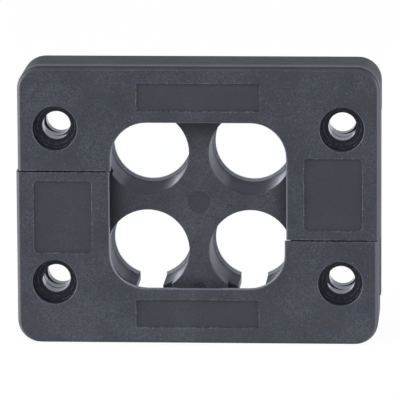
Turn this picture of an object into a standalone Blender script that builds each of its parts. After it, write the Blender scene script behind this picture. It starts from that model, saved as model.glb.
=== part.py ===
"""Split cable entry plate, modelled as it is moulded and put together.

Two identical frame halves, one turned by half a turn about the depth axis, slide into each other
at both sides and close round a moulded insert. The insert has four round cable holes, each slotted
to its outer side, and a cross that stands between the seals. Four counterbored screw holes each
clamp both halves to the panel.

While it is modelled, X runs across the plate, Y runs from the front face to the rear, and Z runs up,
all from the middle of the front face. The finished pieces stand on the plate's lower edge.
"""

import math

import bmesh
import bpy

# The flange, the part that stays in front of the panel. Its front edge stands in a little from its
# sides, behind a shallow groove.
PLATE_WIDTH = 0.0895
PLATE_HEIGHT = 0.0695
FLANGE_DEPTH = 0.0190
PLATE_CORNER = 0.0058
FRONT_ROUND = 0.0008
FRONT_INSET = 0.00025
GROOVE_DEPTH = 0.00015
GROOVE_FLOOR = 0.0002
REAR_ROUND = 0.0012

# The front opening, the lip round it that keeps the insert and the seals in, and the seal seat.
OPENING_WIDTH = 0.0433
OPENING_HEIGHT = 0.0415
OPENING_CORNER = 0.0088
OPENING_ROUND = 0.0005
LIP_DEPTH = 0.0012

# The cable holes of the insert, each narrowed by a collar at the rear and slotted to the outside.
HOLE_PITCH_X = 0.0255
HOLE_PITCH_Z = 0.0246
HOLE_RADIUS = 0.0103
HOLE_BREAK = 0.00015
COLLAR_RADIUS = 0.0097
COLLAR_DEPTH = 0.0010
COLLAR_SLOPE = 0.0002
SLOT_WIDTH = 0.0067

# The insert's cross, the ledge that the frame halves trap, and the boss that enters the panel.
CROSS_FRONT = 0.0059
FOOT_WIDTH = 0.0139
FIT_GAP = 0.0003
LEDGE_STEP = 0.0012
BOSS_DEPTH = 0.0062
BOSS_WALL = 0.0015
BOSS_ROUND = 0.0005
WITNESS_RADIUS = 0.0029
FOOT_WITNESS_RADIUS = 0.0019
FOOT_WITNESS_INSET = 0.0021
WITNESS_DEPTH = 0.00012

# The screw holes: counterbore, washer recess and clearance hole.
SCREW_PITCH_X = 0.0708
SCREW_PITCH_Z = 0.0386
COUNTERBORE_RADIUS = 0.0055
COUNTERBORE_DEPTH = 0.0042
WASHER_RADIUS = 0.0046
WASHER_DEPTH = 0.0010
SCREW_RADIUS = 0.0035
BORE_BREAK = 0.0004
RIM_BREAK = 0.00015

# The interlocking sides: a front ear, a middle tongue and a rear ear on each side.
FRONT_LAYER = 0.0100
MIDDLE_LAYER = 0.0048
FRONT_SPLIT = 0.0085
TONGUE_PAST_SCREW = 0.0050
LAP_GAP = 0.0003
LAP_PLAY = 0.0004

# The label recesses, left bare.
TITLE_WIDTH = 0.0304
TITLE_HEIGHT = 0.0070
TITLE_ABOVE_OPENING = 0.0064
TITLE_CORNER = 0.0003
SIDE_LABEL_WIDTH = 0.0144
SIDE_LABEL_HEIGHT = 0.0181
SIDE_LABEL_FROM_EDGE = 0.0115
SIDE_LABEL_FROM_SPLIT = 0.0024
SIDE_LABEL_CORNER = 0.0010
RECESS_DEPTH = 0.0005

# How finely round shapes are divided.
CORNER_STEPS = 10
LABEL_STEPS = 4
ROUND_STEPS = 3
HOLE_SIDES = 72
SCREW_SIDES = 36

# Sizes that follow from the ones above.
TOTAL_DEPTH = FLANGE_DEPTH + BOSS_DEPTH
HALF_WIDTH = PLATE_WIDTH / 2
HALF_HEIGHT = PLATE_HEIGHT / 2
HOLE_X = HOLE_PITCH_X / 2
HOLE_Z = HOLE_PITCH_Z / 2
SCREW_X = SCREW_PITCH_X / 2
SCREW_Z = SCREW_PITCH_Z / 2
BOSS_CORNER = HOLE_RADIUS + BOSS_WALL
BOSS_HALF_WIDTH = HOLE_X + BOSS_CORNER
BOSS_HALF_HEIGHT = HOLE_Z + BOSS_CORNER
REAR_LAYER_START = FRONT_LAYER + MIDDLE_LAYER
# The halves shift sideways in their laps, so the insert has more room in X than in Z.
ROOM_X = FIT_GAP + LAP_PLAY / 2
ROOM_Z = FIT_GAP
SIDE_GAP = LAP_GAP + LAP_PLAY
FLANK = BOSS_HALF_WIDTH + ROOM_X
TONGUE_END = SCREW_Z + TONGUE_PAST_SCREW
EAR_ROUND = HALF_WIDTH - SCREW_X
# How far a cutter runs past the surface that it opens.
OVERCUT = 0.0020
BEYOND = PLATE_WIDTH
CORNERS = [(side_x, side_z) for side_x in (-1, 1) for side_z in (-1, 1)]


def rounded_rectangle(half_width, half_height, radius, centre_x=0.0, centre_z=0.0, steps=CORNER_STEPS):
    """Outline in X and Z, round corner by round corner."""
    points = []
    corners = ((1, 1, 0.0), (-1, 1, 0.5), (-1, -1, 1.0), (1, -1, 1.5))
    for side_x, side_z, start in corners:
        for step in range(steps + 1):
            angle = math.pi * (start + 0.5 * step / steps)
            points.append((centre_x + side_x * (half_width - radius) + radius * math.cos(angle),
                           centre_z + side_z * (half_height - radius) + radius * math.sin(angle)))
    return points


def circle(radius, sides, centre_x=0.0, centre_z=0.0):
    """Outline of a circle in X and Z, with a point on each axis."""
    return [(centre_x + radius * math.cos(2 * math.pi * side / sides),
             centre_z + radius * math.sin(2 * math.pi * side / sides)) for side in range(sides)]


def arc(radius, centre_x, centre_z, start, end, sides=SCREW_SIDES // 2):
    """Points along part of a circle, from one angle to the other."""
    return [(centre_x + radius * math.cos(start + (end - start) * side / sides),
             centre_z + radius * math.sin(start + (end - start) * side / sides))
            for side in range(sides + 1)]


def loft(name, rings):
    """A closed solid through rings of equal point counts, each an outline and its depth."""
    mesh = bpy.data.meshes.new(name)
    shape = bmesh.new()
    loops = [[shape.verts.new((x, depth, z)) for x, z in outline] for outline, depth in rings]
    for near, far in zip(loops, loops[1:]):
        for index in range(len(near)):
            after = (index + 1) % len(near)
            shape.faces.new((near[index], near[after], far[after], far[index]))
    shape.faces.new(loops[0])
    shape.faces.new(loops[-1])
    bmesh.ops.recalc_face_normals(shape, faces=shape.faces)
    shape.to_mesh(mesh)
    shape.free()
    piece = bpy.data.objects.new(name, mesh)
    bpy.context.scene.collection.objects.link(piece)
    return piece


def prism(name, outline, start, end):
    """An outline carried straight along the depth."""
    return loft(name, [(outline, start), (outline, end)])


def bar(left, right, low, high):
    """A rectangle in X and Z, as an outline."""
    return [(left, low), (right, low), (right, high), (left, high)]


def combine(target, tools, operation):
    """Unite the target with the tools, or cut them from it, and remove them."""
    for tool in tools:
        tool.hide_render = True
        tool.display_type = 'WIRE'
        step = target.modifiers.new(tool.name, 'BOOLEAN')
        step.operation = operation
        step.solver = 'EXACT'
        step.object = tool
    bpy.context.view_layer.update()
    evaluated = target.evaluated_get(bpy.context.evaluated_depsgraph_get())
    result = bpy.data.meshes.new_from_object(evaluated)
    target.modifiers.clear()
    target.data = result
    for tool in tools:
        bpy.data.objects.remove(tool, do_unlink=True)


def plastic(name, colour, roughness):
    """Moulded plastic of one plain colour."""
    material = bpy.data.materials.new(name)
    material.use_nodes = True
    shader = material.node_tree.nodes["Principled BSDF"]
    shader.inputs["Base Color"].default_value = (*colour, 1.0)
    shader.inputs["Roughness"].default_value = roughness
    shader.inputs["Metallic"].default_value = 0.0
    return material


def edge_round(radius):
    """Quarter of a circle at an edge: depth below the face, and how far the side stands in there."""
    angles = [0.5 * math.pi * step / ROUND_STEPS for step in range(ROUND_STEPS + 1)]
    return [(radius * (1 - math.cos(angle)), radius * (1 - math.sin(angle))) for angle in angles]


def rounded_block(name, half_width, half_height, corner, stations):
    """A rounded rectangle carried along the depth, drawn in by the inset that each station gives."""
    return loft(name, [(rounded_rectangle(half_width - inset, half_height - inset, corner - inset), depth)
                       for depth, inset in stations])


def flange_blank():
    """The flange before it is opened: front edge, groove, rounded step out to the sides, rear edge."""
    floor_inset = FRONT_INSET + GROOVE_DEPTH
    floor_start = FRONT_ROUND + GROOVE_DEPTH
    floor_end = floor_start + GROOVE_FLOOR
    stations = [(depth, FRONT_INSET + inset) for depth, inset in edge_round(FRONT_ROUND)]
    stations += [(floor_start, floor_inset)]
    stations += [(floor_end + depth, inset) for depth, inset in edge_round(floor_inset)]
    stations += [(FLANGE_DEPTH - depth, inset) for depth, inset in reversed(edge_round(REAR_ROUND))]
    return rounded_block("flange", HALF_WIDTH, HALF_HEIGHT, PLATE_CORNER, stations)


def cross_outline(half_width, room_x=0.0, room_z=0.0):
    """The insert's cross as one outline, with room added round its feet."""
    reach_x = BOSS_HALF_WIDTH + room_x
    reach_z = BOSS_HALF_HEIGHT + room_z
    quarter = [(reach_x, half_width + room_z), (half_width + room_x, half_width + room_z),
               (half_width + room_x, reach_z)]
    outline = quarter + [(-x, z) for x, z in reversed(quarter)]
    return outline + [(x, -z) for x, z in reversed(outline)]


def opening_cutters():
    """The front opening with its rounded rim, and everything behind it that makes room for the insert."""
    rim = [(-OVERCUT, -OPENING_ROUND)] + [(depth, -grow) for depth, grow in edge_round(OPENING_ROUND)]
    rim.append((LIP_DEPTH + OVERCUT, 0.0))
    opening = rounded_block("opening", OPENING_WIDTH / 2, OPENING_HEIGHT / 2, OPENING_CORNER, rim)

    boss_room_z = BOSS_HALF_HEIGHT + ROOM_Z
    seat = rounded_rectangle(HOLE_X + HOLE_RADIUS, HOLE_Z + HOLE_RADIUS, HOLE_RADIUS)
    feet = cross_outline(FOOT_WIDTH / 2, ROOM_X, ROOM_Z)
    ledge = rounded_rectangle(FLANK + LEDGE_STEP, boss_room_z + LEDGE_STEP, BOSS_CORNER + LEDGE_STEP)
    boss = rounded_rectangle(FLANK, boss_room_z, BOSS_CORNER)
    return [opening,
            prism("seal_seat", seat, LIP_DEPTH, FRONT_LAYER + OVERCUT),
            prism("foot_pockets", feet, CROSS_FRONT - FIT_GAP, FRONT_LAYER + OVERCUT),
            prism("ledge_groove", ledge, FRONT_LAYER, REAR_LAYER_START),
            prism("boss_opening", boss, REAR_LAYER_START - OVERCUT, FLANGE_DEPTH + OVERCUT)]


def round_cutter(name, sides, centre_x, centre_z, stations):
    """A turned hollow along the depth, with a radius for each depth that the stations give."""
    return loft(name, [(circle(radius, sides, centre_x, centre_z), depth) for depth, radius in stations])


def cable_hole_cutter(side_x, side_z):
    """One cable hole: broken front edge, straight bore, and a sloped collar at the rear."""
    collar_start = TOTAL_DEPTH - COLLAR_DEPTH
    stations = [(CROSS_FRONT - OVERCUT, HOLE_RADIUS + HOLE_BREAK),
                (CROSS_FRONT, HOLE_RADIUS + HOLE_BREAK),
                (CROSS_FRONT + HOLE_BREAK, HOLE_RADIUS),
                (collar_start - COLLAR_SLOPE, HOLE_RADIUS),
                (collar_start, COLLAR_RADIUS),
                (TOTAL_DEPTH - HOLE_BREAK, COLLAR_RADIUS),
                (TOTAL_DEPTH, COLLAR_RADIUS + HOLE_BREAK),
                (TOTAL_DEPTH + OVERCUT, COLLAR_RADIUS + HOLE_BREAK)]
    return round_cutter("cable_hole", HOLE_SIDES, side_x * HOLE_X, side_z * HOLE_Z, stations)


def slot_cutter(side_x, side_z):
    """The slot through the outer wall of one cable hole, by which a cable goes in sideways."""
    left = side_x * HOLE_X - SLOT_WIDTH / 2
    reach = BOSS_HALF_HEIGHT + LEDGE_STEP + OVERCUT
    low, high = sorted((side_z * HOLE_Z, side_z * reach))
    start = FRONT_LAYER + FIT_GAP - OVERCUT
    return prism("slot", bar(left, left + SLOT_WIDTH, low, high), start, TOTAL_DEPTH + OVERCUT)


def screw_cutter(side_x, side_z):
    """One screw hole: counterbore, washer recess, and a bore that is broken where layers meet."""
    seat = COUNTERBORE_DEPTH + WASHER_DEPTH
    wide = SCREW_RADIUS + BORE_BREAK
    stations = [(-OVERCUT, COUNTERBORE_RADIUS + RIM_BREAK),
                (0.0, COUNTERBORE_RADIUS + RIM_BREAK),
                (RIM_BREAK, COUNTERBORE_RADIUS),
                (COUNTERBORE_DEPTH, COUNTERBORE_RADIUS),
                (COUNTERBORE_DEPTH, WASHER_RADIUS),
                (seat, WASHER_RADIUS),
                (seat, SCREW_RADIUS)]
    for meeting in (FRONT_LAYER, REAR_LAYER_START):
        stations += [(meeting - BORE_BREAK, SCREW_RADIUS),
                     (meeting, wide),
                     (meeting + BORE_BREAK, SCREW_RADIUS)]
    stations += [(FLANGE_DEPTH - BORE_BREAK, SCREW_RADIUS),
                 (FLANGE_DEPTH, wide),
                 (FLANGE_DEPTH + OVERCUT, wide)]
    return round_cutter("screw_hole", SCREW_SIDES, side_x * SCREW_X, side_z * SCREW_Z, stations)


def label_cutters():
    """The bare title recess above the opening, and the bare recess on the right front ear."""
    title_z = OPENING_HEIGHT / 2 + TITLE_ABOVE_OPENING
    title = rounded_rectangle(TITLE_WIDTH / 2, TITLE_HEIGHT / 2, TITLE_CORNER, 0.0, title_z, LABEL_STEPS)
    side_x = HALF_WIDTH - SIDE_LABEL_FROM_EDGE
    side_z = SIDE_LABEL_FROM_SPLIT + SIDE_LABEL_HEIGHT / 2 - FRONT_SPLIT
    side = rounded_rectangle(SIDE_LABEL_WIDTH / 2, SIDE_LABEL_HEIGHT / 2, SIDE_LABEL_CORNER,
                             side_x, side_z, LABEL_STEPS)
    return [prism("title", title, -OVERCUT, RECESS_DEPTH), prism("side_label", side, -OVERCUT, RECESS_DEPTH)]


def lap_cutters():
    """Everything that belongs to the other half, grown by the lap's gap on each face."""
    gap = LAP_GAP / 2
    side = SIDE_GAP / 2
    front_end = FRONT_LAYER + gap
    middle = (FRONT_LAYER - gap, REAR_LAYER_START + gap)
    rear_left = (REAR_LAYER_START, TOTAL_DEPTH + OVERCUT)
    rear_right = (REAR_LAYER_START - gap, TOTAL_DEPTH + OVERCUT)
    inner = FLANK + side
    outer = FLANK - side

    # Front layer: the split steps down from the left side to the right.
    front_left = bar(-BEYOND, 0.0, -BEYOND, FRONT_SPLIT + gap)
    front_right = bar(-OVERCUT, BEYOND, -BEYOND, -FRONT_SPLIT + gap)
    # Middle layer: the other half's tongue on the left, and the end of this half's own on the right.
    tongue_left = bar(-BEYOND, -outer, -BEYOND, TONGUE_END + gap)
    tongue_right = bar(outer, BEYOND, -BEYOND, -TONGUE_END + gap)
    # Behind the front layer, what lies below mid height between the flanks is the other half's.
    centre = bar(-inner, inner, -BEYOND, gap)
    # Rear layer: this half's ear ends round its screw hole on the left, the other's does on the right.
    own_end = arc(EAR_ROUND - side, -SCREW_X, -SCREW_Z, 0.0, -math.pi)
    ear_left = [(-BEYOND, -BEYOND), (-outer, -BEYOND), (-outer, -SCREW_Z)] + own_end + [(-BEYOND, -SCREW_Z)]
    other_end = arc(EAR_ROUND + side, SCREW_X, SCREW_Z, 0.0, math.pi)
    ear_right = [(BEYOND, -BEYOND), (BEYOND, SCREW_Z)] + other_end + [(outer, SCREW_Z), (outer, -BEYOND)]

    return [prism("front_left", front_left, -OVERCUT, front_end),
            prism("front_right", front_right, -OVERCUT, front_end),
            prism("tongue_left", tongue_left, *middle),
            prism("tongue_right", tongue_right, *middle),
            prism("centre", centre, middle[0], TOTAL_DEPTH + OVERCUT),
            prism("ear_left", ear_left, *rear_left),
            prism("ear_right", ear_right, *rear_right)]


def frame_half_mesh():
    """The upper half as moulded. The lower half is the same moulding, turned by half a turn."""
    half = flange_blank()
    combine(half, opening_cutters(), 'DIFFERENCE')
    combine(half, [screw_cutter(*corner) for corner in CORNERS], 'DIFFERENCE')
    combine(half, label_cutters() + lap_cutters(), 'DIFFERENCE')
    mesh = half.data
    bpy.data.objects.remove(half, do_unlink=True)
    return mesh


def insert_mesh():
    """The insert: cross, trapped ledge and boss in one, with its holes, slots and ejector marks."""
    ledge_start = FRONT_LAYER + FIT_GAP
    ledge_end = REAR_LAYER_START - FIT_GAP
    ledge = [(ledge_start, -LEDGE_STEP), (ledge_end, -LEDGE_STEP)]
    boss = [(ledge_end - OVERCUT, 0.0)]
    boss += [(TOTAL_DEPTH - depth, inset) for depth, inset in reversed(edge_round(BOSS_ROUND))]
    insert = prism("insert", cross_outline(FOOT_WIDTH / 2), CROSS_FRONT, ledge_start + OVERCUT)
    rings = [rounded_block(name, BOSS_HALF_WIDTH, BOSS_HALF_HEIGHT, BOSS_CORNER, stations)
             for name, stations in (("ledge", ledge), ("boss", boss))]
    combine(insert, rings, 'UNION')
    combine(insert, [cable_hole_cutter(*corner) for corner in CORNERS], 'DIFFERENCE')
    combine(insert, [slot_cutter(*corner) for corner in CORNERS], 'DIFFERENCE')

    mark_end = CROSS_FRONT + WITNESS_DEPTH
    foot_mark_z = BOSS_HALF_HEIGHT - FOOT_WITNESS_INSET
    marks = [(WITNESS_RADIUS, 0.0), (FOOT_WITNESS_RADIUS, foot_mark_z), (FOOT_WITNESS_RADIUS, -foot_mark_z)]
    combine(insert, [prism("witness", circle(radius, SCREW_SIDES, 0.0, z), CROSS_FRONT - OVERCUT, mark_end)
                     for radius, z in marks], 'DIFFERENCE')
    mesh = insert.data
    bpy.data.objects.remove(insert, do_unlink=True)
    return mesh


def place(name, mesh, shift, turn, material):
    """A finished piece, stood on the plate's lower edge with the whole depth centred on the origin."""
    piece = bpy.data.objects.new(name, mesh)
    bpy.context.scene.collection.objects.link(piece)
    mesh.materials.clear()
    mesh.materials.append(material)
    mesh.shade_smooth()
    mesh.set_sharp_from_angle(angle=math.radians(30))
    piece.location = (shift, -TOTAL_DEPTH / 2, HALF_HEIGHT)
    piece.rotation_euler = (0.0, turn, 0.0)
    return piece


for leftover in list(bpy.data.objects):
    bpy.data.objects.remove(leftover, do_unlink=True)

moulding = frame_half_mesh()
place("upper_frame_half", moulding, LAP_PLAY / 2, 0.0, plastic("upper_plastic", (0.066, 0.072, 0.088), 0.55))
place("lower_frame_half", moulding.copy(), -LAP_PLAY / 2, math.pi,
      plastic("lower_plastic", (0.066, 0.072, 0.088), 0.55))
place("cable_insert", insert_mesh(), 0.0, 0.0, plastic("insert_plastic", (0.064, 0.067, 0.080), 0.5))
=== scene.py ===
import math

import bmesh
import bpy
from mathutils import Matrix, Vector


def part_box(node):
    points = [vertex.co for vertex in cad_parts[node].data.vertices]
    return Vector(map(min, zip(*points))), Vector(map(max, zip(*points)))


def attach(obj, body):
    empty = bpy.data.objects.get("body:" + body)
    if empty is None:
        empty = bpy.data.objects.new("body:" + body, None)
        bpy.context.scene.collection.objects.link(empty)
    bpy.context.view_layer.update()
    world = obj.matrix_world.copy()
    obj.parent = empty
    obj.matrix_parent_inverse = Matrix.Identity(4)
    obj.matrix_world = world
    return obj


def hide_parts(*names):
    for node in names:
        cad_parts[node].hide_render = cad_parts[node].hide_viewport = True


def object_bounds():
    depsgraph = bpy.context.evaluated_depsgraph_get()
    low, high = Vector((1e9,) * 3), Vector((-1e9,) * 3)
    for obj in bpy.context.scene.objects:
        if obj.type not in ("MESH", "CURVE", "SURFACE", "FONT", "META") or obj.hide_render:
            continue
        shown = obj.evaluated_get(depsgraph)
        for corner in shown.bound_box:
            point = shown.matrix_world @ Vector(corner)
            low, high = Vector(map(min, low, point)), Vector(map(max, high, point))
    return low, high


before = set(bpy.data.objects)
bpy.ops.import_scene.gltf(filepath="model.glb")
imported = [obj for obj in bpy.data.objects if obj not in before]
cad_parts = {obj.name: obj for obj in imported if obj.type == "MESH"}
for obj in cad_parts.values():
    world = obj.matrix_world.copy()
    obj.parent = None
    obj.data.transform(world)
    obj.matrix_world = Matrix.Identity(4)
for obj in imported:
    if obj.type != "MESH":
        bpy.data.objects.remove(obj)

CAD_LOW, CAD_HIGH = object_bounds()

# Camera. It stands a little to the right of the plate and above it, and the plate's front face
# fills the picture nearly square on. The lamps are placed from the same aim point.
FRONT_Y = CAD_LOW.y
AIM = Vector((0.0, FRONT_Y, (CAD_LOW.z + CAD_HIGH.z) / 2))
CAMERA_AZIMUTH = math.radians(3.67)
CAMERA_ELEVATION = math.radians(10.5)
CAMERA_ROLL = math.radians(-0.334)
CAMERA_DISTANCE = 1.25
PICTURE_SIZE = 400
PIXELS_PER_METRE = 4054.0
AIM_PIXEL = (197.59, 206.36)
SENSOR_WIDTH = 36.0

to_camera = Vector((math.sin(CAMERA_AZIMUTH) * math.cos(CAMERA_ELEVATION),
                    -math.cos(CAMERA_AZIMUTH) * math.cos(CAMERA_ELEVATION),
                    math.sin(CAMERA_ELEVATION)))
turn = (-to_camera).to_track_quat('-Z', 'Y').to_matrix() @ Matrix.Rotation(CAMERA_ROLL, 3, 'Z')
aside = turn @ Vector((PICTURE_SIZE / 2 - AIM_PIXEL[0], AIM_PIXEL[1] - PICTURE_SIZE / 2, 0.0))
stand = AIM + to_camera * CAMERA_DISTANCE + aside / PIXELS_PER_METRE
lens = bpy.data.cameras.new("camera")
lens.sensor_width = SENSOR_WIDTH
lens.lens = SENSOR_WIDTH * CAMERA_DISTANCE * PIXELS_PER_METRE / PICTURE_SIZE
camera = bpy.data.objects.new("camera", lens)
camera.matrix_world = Matrix.Translation(stand) @ turn.to_4x4()
bpy.context.scene.collection.objects.link(camera)
bpy.context.scene.camera = camera


# Frame halves. Each is one glass-filled nylon moulding with a spark-eroded matt grain on its front.
# The tool draws out along the depth, which leaves the walls smoother and faintly streaked, and every
# edge leaves the tool with a tiny round that catches the light.
EDGE_ROUND = 0.00012
ROUND_SEGMENTS = 2
SHARP_ANGLE = math.radians(35)
FLAT_ANGLE = math.radians(0.3)
MERGE_DISTANCE = 1e-6
LARGE_FACES_LEAD = 100


def moulded_piece(name, node):
    """The node's own solid, merged and with its flat faces whole again, ready for rounded edges.

    An edge is rounded where its two faces meet at more than the sharp angle and neither face is
    narrower than the round: a face's width is taken as twice its area over its outline's length.
    """
    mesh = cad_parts[node].data.copy()
    mesh.materials.clear()
    shape = bmesh.new()
    shape.from_mesh(mesh)
    bmesh.ops.remove_doubles(shape, verts=shape.verts, dist=MERGE_DISTANCE)
    bmesh.ops.dissolve_limit(shape, angle_limit=FLAT_ANGLE, verts=shape.verts, edges=shape.edges)
    weights = shape.edges.layers.float.new("bevel_weight_edge")
    for edge in shape.edges:
        if len(edge.link_faces) == 2 and edge.calc_face_angle() > SHARP_ANGLE:
            widths = [2 * face.calc_area() / face.calc_perimeter() for face in edge.link_faces]
            edge[weights] = 1.0 if min(widths) > EDGE_ROUND else 0.0
    shape.to_mesh(mesh)
    shape.free()
    mesh.shade_smooth()
    mesh.set_sharp_from_angle(angle=SHARP_ANGLE)
    piece = bpy.data.objects.new(name, mesh)
    bpy.context.scene.collection.objects.link(piece)
    bevel = piece.modifiers.new("moulded_edges", 'BEVEL')
    bevel.limit_method = 'WEIGHT'
    bevel.width = EDGE_ROUND
    bevel.segments = ROUND_SEGMENTS
    bevel.use_clamp_overlap = True
    level = piece.modifiers.new("flat_faces_stay_flat", 'WEIGHTED_NORMAL')
    level.mode = 'FACE_AREA'
    level.weight = LARGE_FACES_LEAD
    level.keep_sharp = True
    return piece


def group_tree(name, inputs, outputs):
    """An empty shader group with float inputs, given with their usual values, and named outputs."""
    tree = bpy.data.node_groups.new(name, 'ShaderNodeTree')
    for label, value in inputs:
        socket = tree.interface.new_socket(name=label, in_out='INPUT', socket_type='NodeSocketFloat')
        socket.default_value = value
    for label in outputs:
        tree.interface.new_socket(name=label, in_out='OUTPUT', socket_type='NodeSocketFloat')
    return tree, tree.nodes.new('NodeGroupInput'), tree.nodes.new('NodeGroupOutput')


def math_node(tree, operation, first, second, clamp=False):
    """A Math node on two sockets or plain numbers, and its result."""
    node = tree.nodes.new('ShaderNodeMath')
    node.operation = operation
    node.use_clamp = clamp
    for slot, value in zip(node.inputs, (first, second)):
        if isinstance(value, (int, float)):
            slot.default_value = value
        else:
            tree.links.new(value, slot)
    return node.outputs[0]


def product(tree, first, *others):
    """Masks multiplied together: 1 only where all of them are."""
    result = first
    for other in others:
        result = math_node(tree, 'MULTIPLY', result, other)
    return result


def size_of(tree, value):
    """A value without its sign."""
    return math_node(tree, 'ABSOLUTE', value, 0.0)


def above_middle(tree, point):
    """How far a point is above the plate's mid height, below it as a negative."""
    return math_node(tree, 'SUBTRACT', point.outputs['Z'], AIM.z)


def point_and_facing(tree):
    """The point on the piece and the way its surface faces there, each split into X, Y and Z."""
    place = tree.nodes.new('ShaderNodeTexCoord')
    point, facing = (tree.nodes.new('ShaderNodeSeparateXYZ') for _ in range(2))
    tree.links.new(place.outputs['Object'], point.inputs[0])
    tree.links.new(place.outputs['Normal'], facing.inputs[0])
    return point, facing


def noise_node(tree, size, detail=2.0, stretch=(1.0, 1.0, 1.0)):
    """Noise on Object coordinates whose lumps are about the given size in metres, and its factor."""
    place = tree.nodes.new('ShaderNodeTexCoord')
    fit = tree.nodes.new('ShaderNodeMapping')
    fit.inputs['Scale'].default_value = stretch
    noise = tree.nodes.new('ShaderNodeTexNoise')
    noise.inputs['Scale'].default_value = 1.0 / size
    noise.inputs['Detail'].default_value = detail
    tree.links.new(place.outputs['Object'], fit.inputs['Vector'])
    tree.links.new(fit.outputs['Vector'], noise.inputs['Vector'])
    return noise.outputs[0]


def ramp_node(tree, factor, low, high, bottom=0.0, top=1.0):
    """A smooth step from the bottom value at low to the top value at high."""
    step = tree.nodes.new('ShaderNodeMapRange')
    step.interpolation_type = 'SMOOTHSTEP'
    step.inputs['From Min'].default_value = low
    step.inputs['From Max'].default_value = high
    step.inputs['To Min'].default_value = bottom
    step.inputs['To Max'].default_value = top
    tree.links.new(factor, step.inputs['Value'])
    return step.outputs[0]


def fall_node(tree, factor, low, high):
    """A smooth step down, from 1 at low to 0 at high."""
    return ramp_node(tree, factor, low, high, bottom=1.0, top=0.0)


FINE_PIT, COARSE_PIT, FINE_SHARE = 0.00026, 0.0005, 0.6
PIT_TO_CREST = (0.36, 0.64)
FIBRE_END, FIBRE_SHOWS = 0.0004, (0.72, 0.84)


def eroded_grain_group():
    """Spark-eroded grain: fine pits over coarser ones. Height drives the bump, Tone lightens the
    crests and darkens the pits, and Speck marks the few ends of glass fibre that lie open."""
    tree, _, out = group_tree("eroded_grain", [], ["Height", "Tone", "Speck"])
    height = math_node(tree, 'ADD', product(tree, noise_node(tree, FINE_PIT), FINE_SHARE),
                       product(tree, noise_node(tree, COARSE_PIT), 1.0 - FINE_SHARE))
    tree.links.new(height, out.inputs['Height'])
    tree.links.new(ramp_node(tree, height, *PIT_TO_CREST), out.inputs['Tone'])
    fibres = noise_node(tree, FIBRE_END, detail=0.0)
    tree.links.new(ramp_node(tree, fibres, *FIBRE_SHOWS), out.inputs['Speck'])
    return tree


CLOUD_SIZE, CLOUD_SHOWS = 0.011, (0.38, 0.62)
FLECK_SIZE, FLECK_SHOWS = 0.0035, (0.42, 0.64)


def cloud_group():
    """Uneven flow of the filled plastic: Cloud is broad and soft, Fleck is a few millimetres wide."""
    tree, _, out = group_tree("flow_clouds", [], ["Cloud", "Fleck"])
    broad, narrow = noise_node(tree, CLOUD_SIZE, detail=3.0), noise_node(tree, FLECK_SIZE, detail=4.0)
    tree.links.new(ramp_node(tree, broad, *CLOUD_SHOWS), out.inputs['Cloud'])
    tree.links.new(ramp_node(tree, narrow, *FLECK_SHOWS), out.inputs['Fleck'])
    return tree


STREAK_WIDTH, STREAK_STRETCH = 0.0005, (1.0, 0.06, 1.0)
LEFT_WALL_DRAG = 0.6


def facings_and_polish_group():
    """Masks read from the way that the surface faces, for where the tool slid off the walls and for where
    the materials paint light and shade: the ramps' limits are parts of a unit normal. Wall is 1 on faces
    along the depth and 0 on faces across it, and the materials paint shade on inner walls. Round is the
    slanted band between the two where it is turned to a side, Brow where it is turned up, and Top is 1 on
    level tops; the materials paint highlights on Round and, on the outer sides, shade on Brow and Top.
    Streak runs in fine lines along the depth. Drag is 1 on floors and less on left walls, which cables rub
    dull, and Gleam is 1 on walls turned to the left and up, where the insert has a painted reflection and
    the frame a painted shade."""
    tree, _, out = group_tree("facings_and_polish", [],
                              ["Wall", "Round", "Brow", "Top", "Streak", "Drag", "Gleam"])
    _, facing = point_and_facing(tree)
    to_side, up = facing.outputs['X'], facing.outputs['Z']
    across = size_of(tree, facing.outputs['Y'])
    slanted = product(tree, ramp_node(tree, across, 0.10, 0.35), fall_node(tree, across, 0.90, 0.99))
    sideways = ramp_node(tree, size_of(tree, to_side), 0.1, 0.6)
    floor_drag = ramp_node(tree, up, 0.72, 0.98)
    left_drag = ramp_node(tree, to_side, 0.0, 0.8, top=LEFT_WALL_DRAG)
    for label, mask in (
            ("Wall", fall_node(tree, across, 0.35, 0.75)),
            ("Round", product(tree, slanted, sideways)),
            ("Brow", product(tree, slanted, ramp_node(tree, up, 0.1, 0.5))),
            ("Top", ramp_node(tree, up, 0.85, 0.97)),
            ("Streak", noise_node(tree, STREAK_WIDTH, detail=3.0, stretch=STREAK_STRETCH)),
            ("Drag", math_node(tree, 'ADD', floor_drag, left_drag, clamp=True)),
            ("Gleam", product(tree, ramp_node(tree, up, 0.0, 0.3), fall_node(tree, to_side, -0.75, -0.30)))):
        tree.links.new(mask, out.inputs[label])
    return tree


RECESS_DEPTH, BORE_DEPTH = (0.0003, 0.00045), (0.0012, 0.0028)
GROOVE_STARTS, GROOVE_ENDS = (0.0003, 0.0005), (0.0012, 0.0014)
SHOULDER_STARTS, SHOULDER_ENDS = (0.0012, 0.0016), (0.0020, 0.0060)
LEDGE_DEPTH = (0.002, 0.003)
OUTER_STEP, START_STEP = 0.0004, 0.0002
FOOT_HEIGHT = (0.003, 0.024)


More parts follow.
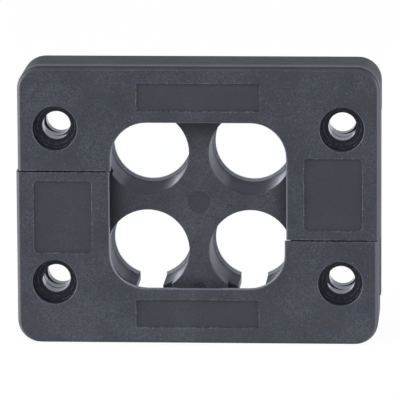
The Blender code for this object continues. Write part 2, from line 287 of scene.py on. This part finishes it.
def moulding_place_group():
    """Which part of the moulding a point is on, from its place. Recess is 1 below the piece's front
    face and Bore is 1 deep below it. Outer is 1 on the outer sides, where Groove is their front groove,
    Shoulder fades back from it and Ledge is 1 on steps that face the front. Through is 1 near the four
    hole axes, from the given depth on, and Foot comes in towards the lower edge.

    All inputs are in metres: Face is where the front face is along the depth, Side and Rise are how far
    the outer sides are from the middle, and so are Hole Aside and Hole Rise for the hole axes. Hole
    Reach is a radius and Hole Start a depth below the face.
    """
    tree, given, out = group_tree(
        "moulding_place",
        [("Face", 0.0), ("Side", 0.04), ("Rise", 0.03), ("Hole Aside", 0.03), ("Hole Rise", 0.02),
         ("Hole Reach", 0.004), ("Hole Start", 0.005)],
        ["Recess", "Bore", "Outer", "Groove", "Shoulder", "Ledge", "Through", "Foot"])
    point, facing = point_and_facing(tree)

    def less(first, second):
        return math_node(tree, 'SUBTRACT', first, second)

    def square(value):
        return math_node(tree, 'POWER', value, 2.0)

    aside = size_of(tree, point.outputs['X'])
    height = size_of(tree, above_middle(tree, point))
    past_side = math_node(tree, 'MAXIMUM', less(aside, given.outputs['Side']),
                          less(height, given.outputs['Rise']))
    outer = ramp_node(tree, past_side, 0.0, OUTER_STEP)
    depth = less(point.outputs['Y'], given.outputs['Face'])
    ahead = fall_node(tree, facing.outputs['Y'], -0.6, -0.2)
    not_rear = fall_node(tree, facing.outputs['Y'], 0.2, 0.6)
    open_side = product(tree, not_rear, less(1.0, outer))
    from_axis = math_node(tree, 'ADD', square(less(aside, given.outputs['Hole Aside'])),
                          square(less(height, given.outputs['Hole Rise'])))
    near_axis = math_node(tree, 'LESS_THAN', from_axis, square(given.outputs['Hole Reach']))
    past_start = ramp_node(tree, less(depth, given.outputs['Hole Start']), 0.0, START_STEP)

    for label, mask in (
            ("Recess", product(tree, open_side, ramp_node(tree, depth, *RECESS_DEPTH))),
            ("Bore", product(tree, open_side, ramp_node(tree, depth, *BORE_DEPTH))),
            ("Outer", outer),
            ("Groove", product(tree, outer, ramp_node(tree, depth, *GROOVE_STARTS),
                               fall_node(tree, depth, *GROOVE_ENDS))),
            ("Shoulder", product(tree, outer, ramp_node(tree, depth, *SHOULDER_STARTS),
                                 fall_node(tree, depth, *SHOULDER_ENDS))),
            ("Ledge", product(tree, outer, ahead, ramp_node(tree, depth, *LEDGE_DEPTH))),
            ("Through", product(tree, near_axis, not_rear, past_start)),
            ("Foot", fall_node(tree, point.outputs['Z'], *FOOT_HEIGHT))):
        tree.links.new(mask, out.inputs[label])
    return tree


# The painted edge highlight's band: its radius, its samples and how far the normals differ where it starts
# and is full.
HIGHLIGHT_RADIUS, HIGHLIGHT_SAMPLES, HIGHLIGHT_BEND = 0.00045, 6, (0.005, 0.16)
BEAD_SIZE, BEAD_SHOWS = 0.0008, (0.45, 0.62)


def bright_edge_group():
    """Painted edge highlights: the normal is compared with the one that a wider round would give, and
    the difference is broken into beads by noise."""
    tree, given, out = group_tree("edge_highlight", [("Beads", 0.9)], ["Edge"])
    softened = tree.nodes.new('ShaderNodeBevel')
    softened.samples = HIGHLIGHT_SAMPLES
    softened.inputs['Radius'].default_value = HIGHLIGHT_RADIUS
    true = tree.nodes.new('ShaderNodeNewGeometry')
    match = tree.nodes.new('ShaderNodeVectorMath')
    match.operation = 'DOT_PRODUCT'
    tree.links.new(softened.outputs[0], match.inputs[0])
    tree.links.new(true.outputs['True Normal'], match.inputs[1])
    near = ramp_node(tree, math_node(tree, 'SUBTRACT', 1.0, match.outputs['Value']), *HIGHLIGHT_BEND)
    beads = ramp_node(tree, noise_node(tree, BEAD_SIZE), *BEAD_SHOWS)
    kept = math_node(tree, 'ADD', product(tree, beads, given.outputs['Beads']),
                     math_node(tree, 'SUBTRACT', 1.0, given.outputs['Beads']))
    tree.links.new(product(tree, near, kept), out.inputs['Edge'])
    return tree


GRAIN, CLOUDS, FACINGS_AND_POLISH = eroded_grain_group(), cloud_group(), facings_and_polish_group()
PLACE, EDGE_HIGHLIGHT = moulding_place_group(), bright_edge_group()


def mix_colour(tree, factor, first, second, blend='MIX'):
    """Two colours, each a socket or three plain numbers, mixed by the factor."""
    mix = tree.nodes.new('ShaderNodeMix')
    mix.data_type = 'RGBA'
    mix.blend_type = blend
    tree.links.new(factor, mix.inputs['Factor'])
    for slot, value in ((mix.inputs[6], first), (mix.inputs[7], second)):
        if isinstance(value, tuple):
            slot.default_value = (*value, 1.0)
        else:
            tree.links.new(value, slot)
    return mix.outputs[2]


def placed_group(tree, group, settings=()):
    """One of the shared groups, placed in a material with its own settings, and its outputs."""
    node = tree.nodes.new('ShaderNodeGroup')
    node.node_tree = group
    for label, value in dict(settings).items():
        node.inputs[label].default_value = value
    return node.outputs


CLOUD_SHARE, FLECK_SHARE = 0.6, 0.4
# Painted light from the floor: how much paler the colour grows towards the lower edge.
PAINTED_FLOOR_LIGHT = (1.34, 1.32, 1.28)
CLOUD_ROUGHNESS = 0.05
STREAK_RELIEF, RELIEF_STRENGTH = 0.15, 0.6


def filled_nylon(name, colours, finish, grain_depth, place):
    """Glass-filled nylon: a dark colour that pales on the grain's crests and goes dull and warm in clouds,
    with painted light and shade over it: painted shade in its recesses, bores, walls and groove, painted
    light in the insert's collars and the frame's screw bores, painted highlights on its rounds and edges,
    and paler towards the lower edge for painted light from the floor.

    The colours are deep and pale for the grain, warm for flecks, a painted shade each for recesses, walls
    and deep places, painted light and shade for what Gleam and Through mark, a painted shade for the
    groove, a painted highlight for rounds, and a pale colour for fibre ends, front-facing ledges and
    painted edge highlights. The finish holds the roughness of the faces, the walls, the dragged walls and
    what Through marks.
    """
    material = bpy.data.materials.new(name)
    material.use_nodes = True
    tree = material.node_tree
    shader = tree.nodes["Principled BSDF"]
    grain, clouds, facings, edges = (placed_group(tree, group) for group in (GRAIN, CLOUDS, FACINGS_AND_POLISH, EDGE_HIGHLIGHT))
    where = placed_group(tree, PLACE, place)

    inner = product(tree, facings['Wall'], math_node(tree, 'SUBTRACT', 1.0, where['Outer']))
    colour = mix_colour(tree, grain['Tone'], colours['deep'], colours['pale'])
    colour = mix_colour(tree, product(tree, clouds['Cloud'], CLOUD_SHARE), colour, colours['deep'])
    colour = mix_colour(tree, product(tree, clouds['Fleck'], FLECK_SHARE), colour, colours['warm'])
    # Painted light from the floor: paler towards the lower edge.
    colour = mix_colour(tree, where['Foot'], colour, PAINTED_FLOOR_LIGHT, blend='MULTIPLY')
    # Each coat, the first one lowest: where it lies, how strong it is there, and its colour.
    for mask, amount, label in (
            (grain['Speck'], 0.18, 'pale_fibre_and_highlight'),
            # Painted shade: what lies back from the front face is darkened.
            (where['Recess'], 0.6, 'sunk'),
            # Painted shade: the inner walls are darker and bluer.
            (inner, 1.0, 'painted_wall_shade'),
            # Painted shade in deep places.
            (where['Bore'], 1.0, 'painted_deep_shade'),
            # Painted light on inner walls turned left and up: a pale reflection on the insert, a shade on the
            # frame.
            (product(tree, inner, facings['Gleam']), 1.0, 'painted_wall_light'),
            # Painted light: pale collars in the insert and a pale reflection in the frame's screw bores.
            (where['Through'], 1.0, 'through'),
            # Painted shade on the level tops of the outer sides.
            (product(tree, where['Outer'], facings['Top']), 0.9, 'painted_deep_shade'),
            # Painted shade in the front groove.
            (where['Groove'], 1.0, 'painted_groove_shade'),
            # Painted highlight fading back from the groove.
            (where['Shoulder'], 0.8, 'painted_highlight'),
            # Painted light on the outer steps that face the front.
            (where['Ledge'], 1.0, 'pale_fibre_and_highlight'),
            # Painted highlight on rounds turned to a side.
            (facings['Round'], 0.8, 'painted_highlight'),
            # Painted shade on the outer rounds turned up.
            (product(tree, where['Outer'], facings['Brow']), 0.6, 'painted_deep_shade'),
            # Painted highlight along the edges, broken into beads, but not in the groove.
            (product(tree, edges['Edge'], math_node(tree, 'SUBTRACT', 1.0, where['Groove'])), 0.6, 'pale_fibre_and_highlight')):
        colour = mix_colour(tree, product(tree, mask, amount), colour, colours[label])
    tree.links.new(colour, shader.inputs['Base Color'])

    face_finish, wall_finish, dragged_finish, through_finish = finish
    rough = tree.nodes.new('ShaderNodeMapRange')
    rough.inputs['To Min'].default_value, rough.inputs['To Max'].default_value = face_finish, wall_finish
    tree.links.new(inner, rough.inputs['Value'])
    through = product(tree, inner, where['Through'])
    dragged = product(tree, math_node(tree, 'SUBTRACT', inner, through), facings['Drag'])
    changes = math_node(tree, 'ADD', product(tree, dragged, dragged_finish - wall_finish),
                        product(tree, through, through_finish - wall_finish))
    clouded = math_node(tree, 'ADD', rough.outputs[0], product(tree, clouds['Cloud'], CLOUD_ROUGHNESS))
    tree.links.new(math_node(tree, 'ADD', clouded, changes), shader.inputs['Roughness'])

    relief = math_node(tree, 'ADD',
                       product(tree, grain['Height'], math_node(tree, 'SUBTRACT', 1.0, inner)),
                       product(tree, facings['Streak'], inner, STREAK_RELIEF))
    bump = tree.nodes.new('ShaderNodeBump')
    bump.inputs['Strength'].default_value = RELIEF_STRENGTH
    bump.inputs['Distance'].default_value = grain_depth
    tree.links.new(relief, bump.inputs['Height'])
    tree.links.new(bump.outputs[0], shader.inputs['Normal'])
    return material


def repaint(material, paint):
    """Puts a last coat on a material: paint takes its tree and its colour so far and gives the new one."""
    tree = material.node_tree
    base = tree.nodes["Principled BSDF"].inputs['Base Color']
    tree.links.new(paint(tree, base.links[0].from_socket), base)


LIP_HALF_WIDTH, LIP_HALF_HEIGHT, LIP_DEPTH = 0.0225, 0.0215, 0.0014
# The colour of the lip's painted highlight.
LIP_HIGHLIGHT_COLOUR = (0.19, 0.20, 0.23)
LEVEL_LIP_SHARE = 0.25


def painted_lip_highlight(tree, under):
    """The lip that the seals press against gets a painted highlight: walls of the frame's opening no deeper
    than the lip, within its half sizes from the opening's middle, but not the wall that faces left and only
    a share of the level floor."""
    point, facing = point_and_facing(tree)
    mask = product(tree,
                   math_node(tree, 'LESS_THAN', size_of(tree, point.outputs['X']), LIP_HALF_WIDTH),
                   math_node(tree, 'LESS_THAN', size_of(tree, above_middle(tree, point)), LIP_HALF_HEIGHT),
                   math_node(tree, 'LESS_THAN', point.outputs['Y'], FRONT_Y + LIP_DEPTH),
                   ramp_node(tree, facing.outputs['Y'], -0.90, -0.50),
                   ramp_node(tree, facing.outputs['Z'], 0.85, 1.0, bottom=1.0, top=LEVEL_LIP_SHARE),
                   ramp_node(tree, facing.outputs['X'], -0.95, -0.70))
    return mix_colour(tree, mask, under, LIP_HIGHLIGHT_COLOUR)


OUTER_BAND = 0.0028
FRAME_GRAIN_DEPTH = 0.00004
# Shared: a painted highlight, a pale for fibre ends and painted highlights, and the groove's painted shade.
PAINTED_HIGHLIGHT, PALE_FIBRE_AND_HIGHLIGHT, PAINTED_GROOVE_SHADE = (0.087, 0.090, 0.110), (0.20, 0.21, 0.23), (0.003, 0.004, 0.008)
# Past deep, pale and warm, these are painted shade, but the screw bores get a pale painted reflection.
FRAME_COLOURS = {'deep': (0.014, 0.017, 0.024), 'pale': (0.0428, 0.0482, 0.0612),
                 'warm': (0.030, 0.027, 0.031), 'sunk': (0.021, 0.023, 0.029),
                 'painted_wall_shade': (0.020, 0.026, 0.042), 'painted_deep_shade': (0.009, 0.012, 0.021),
                 'painted_wall_light': (0.009, 0.012, 0.021), 'through': (0.20, 0.21, 0.24),
                 'painted_highlight': PAINTED_HIGHLIGHT, 'pale_fibre_and_highlight': PALE_FIBRE_AND_HIGHLIGHT, 'painted_groove_shade': PAINTED_GROOVE_SHADE}
FRAME_FINISH = (0.56, 0.08, 0.10, 0.08)
FRAME_PLACE = {"Face": FRONT_Y, "Side": CAD_HIGH.x - OUTER_BAND, "Rise": AIM.z - OUTER_BAND,
               "Hole Aside": 0.0354, "Hole Rise": 0.0193, "Hole Reach": 0.00375, "Hole Start": 0.0053}
frame_nylon = filled_nylon("frame_nylon", FRAME_COLOURS, FRAME_FINISH, FRAME_GRAIN_DEPTH, FRAME_PLACE)
repaint(frame_nylon, painted_lip_highlight)
for half_name in ("upper_frame_half", "lower_frame_half"):
    half = moulded_piece("finished_" + half_name, half_name)
    half.data.materials.append(frame_nylon)
    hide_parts(half_name)
    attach(half, "root")


# Insert. One moulding from another tool: its cross stands back between the seals, and its rings run
# on behind the frame into the panel. Its grain is finer and its plastic a little browner.
INSERT_FACE = FRONT_Y + 0.0059
BOSS_SKIN = 0.0008
COLLAR_LENGTH = 0.0018
INSERT_GRAIN_DEPTH = 0.00003
# Past deep, pale and warm, these are painted shade, but walls turned left and up get a pale painted
# reflection and the collars a pale painted light.
INSERT_COLOURS = {'deep': (0.018, 0.020, 0.027), 'pale': (0.060, 0.063, 0.078),
                  'warm': (0.044, 0.038, 0.040), 'sunk': (0.022, 0.024, 0.031),
                  'painted_wall_shade': (0.015, 0.019, 0.038), 'painted_deep_shade': (0.015, 0.019, 0.038),
                  'painted_wall_light': (0.26, 0.26, 0.31), 'through': (0.60, 0.62, 0.67),
                  'painted_highlight': PAINTED_HIGHLIGHT, 'pale_fibre_and_highlight': PALE_FIBRE_AND_HIGHLIGHT, 'painted_groove_shade': PAINTED_GROOVE_SHADE}
INSERT_FINISH = (0.50, 0.12, 0.55, 0.45)
insert_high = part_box("cable_insert")[1]
INSERT_PLACE = {"Face": INSERT_FACE, "Side": insert_high.x - BOSS_SKIN,
                "Rise": insert_high.z - AIM.z - BOSS_SKIN,
                "Hole Aside": 0.01275, "Hole Rise": 0.0123, "Hole Reach": 0.0105,
                "Hole Start": insert_high.y - COLLAR_LENGTH - INSERT_FACE}
insert_nylon = filled_nylon("insert_nylon", INSERT_COLOURS, INSERT_FINISH, INSERT_GRAIN_DEPTH, INSERT_PLACE)

CROSS_HALF_WIDTH, CROSS_HALF_HEIGHT, CROSS_SKIN = 0.0220, 0.0205, 0.0005
# Painted shade beside the frame's lip: how far it fades in, its share and its colour.
LIP_SHADE_FADE, LIP_SHADE_SHARE, LIP_SHADE_COLOUR = 0.0050, 0.8, (0.006, 0.007, 0.011)
MARK_DEPTH, MARK_SHARE, MARK_COLOUR = (0.00005, 0.00011), 0.6, (0.014, 0.016, 0.022)


def cross_lip_shade_and_marks(tree, under):
    """The cross gets a painted shade in the lee of the frame's lip, which comes in over the fade at its two
    sides and its top, and its sunk ejector marks are darker than what is round them."""
    point, _ = point_and_facing(tree)
    past_side = math_node(tree, 'SUBTRACT', size_of(tree, point.outputs['X']), CROSS_HALF_WIDTH)
    past_top = math_node(tree, 'SUBTRACT', above_middle(tree, point), CROSS_HALF_HEIGHT)
    nearest = math_node(tree, 'MAXIMUM', past_side, past_top)
    depth = math_node(tree, 'SUBTRACT', point.outputs['Y'], INSERT_FACE)
    front = math_node(tree, 'LESS_THAN', depth, CROSS_SKIN)
    # Painted shade in the lee of the lip.
    lip_shade = product(tree, ramp_node(tree, nearest, -LIP_SHADE_FADE, 0.0, top=LIP_SHADE_SHARE), front)
    mark = product(tree, ramp_node(tree, depth, *MARK_DEPTH, top=MARK_SHARE), front)
    return mix_colour(tree, mark, mix_colour(tree, lip_shade, under, LIP_SHADE_COLOUR), MARK_COLOUR)


repaint(insert_nylon, cross_lip_shade_and_marks)
insert = moulded_piece("finished_cable_insert", "cable_insert")
insert.data.materials.append(insert_nylon)
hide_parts("cable_insert")
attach(insert, "root")


# Floor. A wide white sheet that the plate stands on. The camera and glossy surfaces see it nearly
# white everywhere, and a share of it stays a plain matt surface that holds the plate's soft shadow.
FLOOR_HALF = 4.0
FLOOR_GLOW = 0.96
PAPER_COLOUR, PAPER_ROUGHNESS = (0.90, 0.90, 0.90), 0.9
WHITE, COOL_WHITE = (1.0, 1.0, 1.0), (0.85, 0.88, 1.0)
floor_mesh = bpy.data.meshes.new("floor")
floor_mesh.from_pydata([(-FLOOR_HALF, -FLOOR_HALF, 0.0), (FLOOR_HALF, -FLOOR_HALF, 0.0),
                        (FLOOR_HALF, FLOOR_HALF, 0.0), (-FLOOR_HALF, FLOOR_HALF, 0.0)], [], [(0, 1, 2, 3)])
floor = bpy.data.objects.new("floor", floor_mesh)
bpy.context.scene.collection.objects.link(floor)
paper = bpy.data.materials.new("white_paper")
paper.use_nodes = True
nodes, links = paper.node_tree.nodes, paper.node_tree.links
matt = nodes["Principled BSDF"]
matt.inputs['Base Color'].default_value = (*PAPER_COLOUR, 1.0)
matt.inputs['Roughness'].default_value = PAPER_ROUGHNESS
glow = nodes.new('ShaderNodeEmission')
glow.inputs['Strength'].default_value = 1.0
path = nodes.new('ShaderNodeLightPath')
links.new(mix_colour(paper.node_tree, path.outputs['Is Glossy Ray'], WHITE, COOL_WHITE), glow.inputs['Color'])
seen = math_node(paper.node_tree, 'MAXIMUM', path.outputs['Is Camera Ray'], path.outputs['Is Glossy Ray'])
blend = nodes.new('ShaderNodeMixShader')
links.new(product(paper.node_tree, seen, FLOOR_GLOW), blend.inputs[0])
links.new(matt.outputs[0], blend.inputs[1])
links.new(glow.outputs[0], blend.inputs[2])
links.new(blend.outputs[0], nodes["Material Output"].inputs['Surface'])
floor_mesh.materials.append(paper)


# Light. The surround is a dim even cool white, which the camera sees as plain white. A broad soft
# lamp hangs above and in front, and a soft panel stands at either side, the left one the brighter.
SURROUND_COLOUR, SURROUND_STRENGTH = (0.87, 0.915, 1.0), 0.60
# Each lamp's name, place from the aim point, width and power.
LAMPS = (("soft_lamp", (-0.4, -1.0, 1.1), 1.2, 12.0),
         ("left_panel", (-1.1, -0.12, 0.15), 0.7, 18.0),
         ("right_panel", (1.1, -0.12, 0.15), 0.7, 9.0))
world = bpy.data.worlds.new("surround")
bpy.context.scene.world = world
world.use_nodes = True
nodes, links = world.node_tree.nodes, world.node_tree.links
around, behind = nodes["Background"], nodes.new('ShaderNodeBackground')
for background, tint, strength in ((around, SURROUND_COLOUR, SURROUND_STRENGTH), (behind, WHITE, 1.0)):
    background.inputs['Color'].default_value = (*tint, 1.0)
    background.inputs['Strength'].default_value = strength
path = nodes.new('ShaderNodeLightPath')
choose = nodes.new('ShaderNodeMixShader')
links.new(path.outputs['Is Camera Ray'], choose.inputs[0])
links.new(around.outputs[0], choose.inputs[1])
links.new(behind.outputs[0], choose.inputs[2])
links.new(choose.outputs[0], nodes["World Output"].inputs['Surface'])

for lamp_name, place, size, energy in LAMPS:
    lamp_data = bpy.data.lights.new(lamp_name, 'AREA')
    lamp_data.shape = 'SQUARE'
    lamp_data.size = size
    lamp_data.energy = energy
    lamp = bpy.data.objects.new(lamp_name, lamp_data)
    lamp.location = AIM + Vector(place)
    lamp.rotation_euler = (AIM - lamp.location).to_track_quat('-Z', 'Y').to_euler()
    bpy.context.scene.collection.objects.link(lamp)

bpy.context.scene.view_settings.view_transform = 'Standard'
